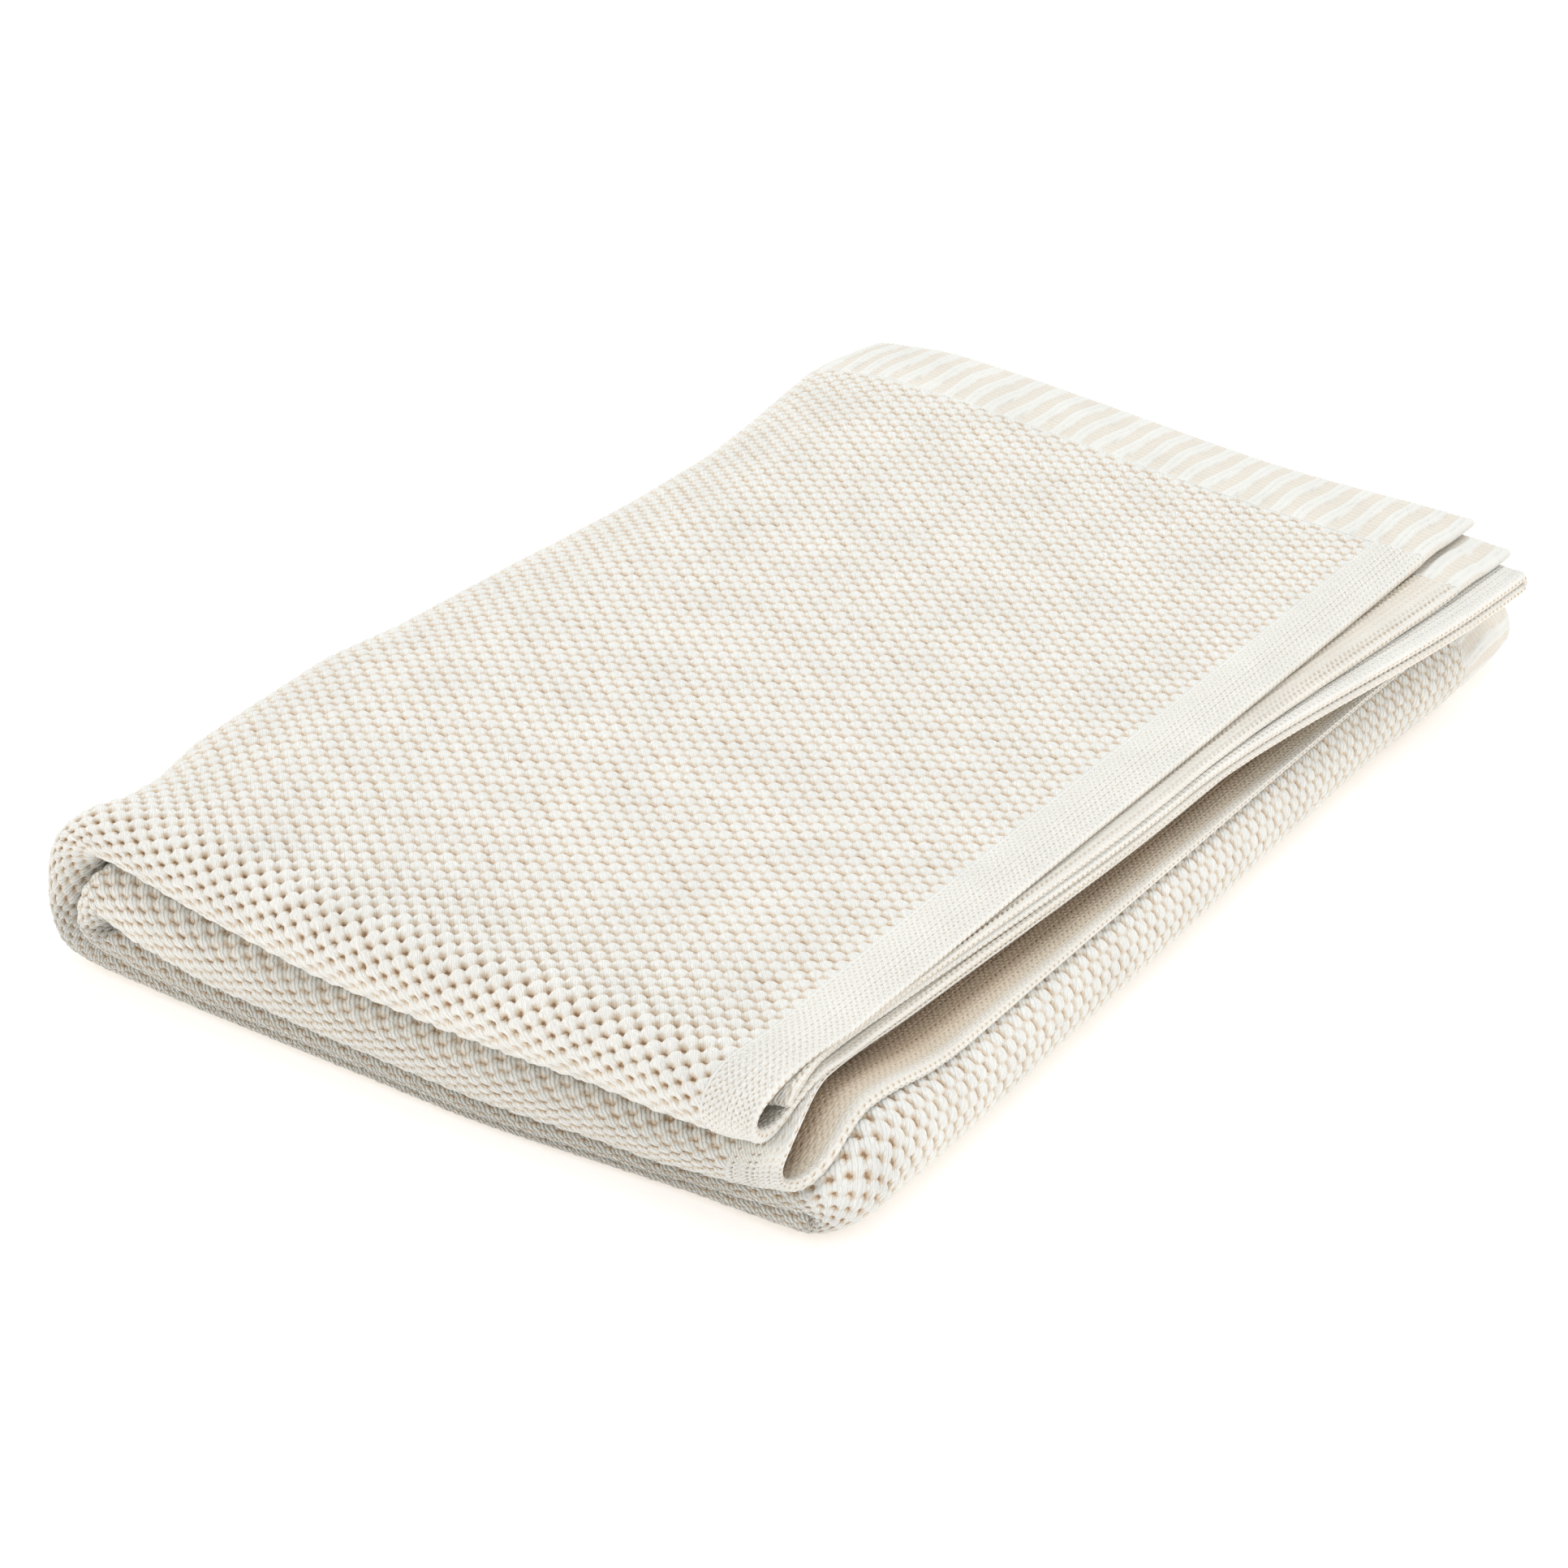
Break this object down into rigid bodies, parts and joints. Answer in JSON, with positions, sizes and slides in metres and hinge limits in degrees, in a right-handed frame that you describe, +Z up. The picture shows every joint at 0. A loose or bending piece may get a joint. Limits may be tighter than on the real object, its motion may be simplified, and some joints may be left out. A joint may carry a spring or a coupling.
{
  "type": "folded throw blanket",
  "caption": "Knitted cotton throw folded into a flat pile, moss-stitch body with plain selvedge bands and wide ribbed hems; the top fold opens like a flap.",
  "frame": {"origin": "centre of the folded blanket's footprint, on the surface it rests on", "axes": "+X from the rolled long side, where the flap folds over, to the open long side with the selvedges; +Y from the short side of rolled folds to the short side with the hems; +Z up"},
  "size_m": [0.32, 0.462, 0.0596],
  "materials": {
    "moss_knit": "matte moss-stitch cotton knit, ivory",
    "plain_knit": "matte plain cotton knit, ivory",
    "rib_knit": "matte ribbed cotton knit, ivory"
  },
  "bodies": {
    "base": {"body_base": "moss_knit", "body_fold": "moss_knit", "side_band_base": "plain_knit", "outer_hem_base": "rib_knit", "outer_hem_fold": "rib_knit", "inner_hem_base": "rib_knit", "inner_hem_fold": "rib_knit"},
    "flap": {"body_flap": "moss_knit", "side_band_flap": "plain_knit", "outer_hem_flap": "rib_knit", "inner_hem_flap": "rib_knit"}
  },
  "joints": [
    {"name": "flap_fold", "type": "hinge", "parent": "base", "child": "flap", "pos_m": [-0.16, 0, 0.0298], "axis": [0, -1, 0], "range_deg": [0, 180], "deforming": ["body_fold", "outer_hem_fold", "inner_hem_fold"]}
  ]
}
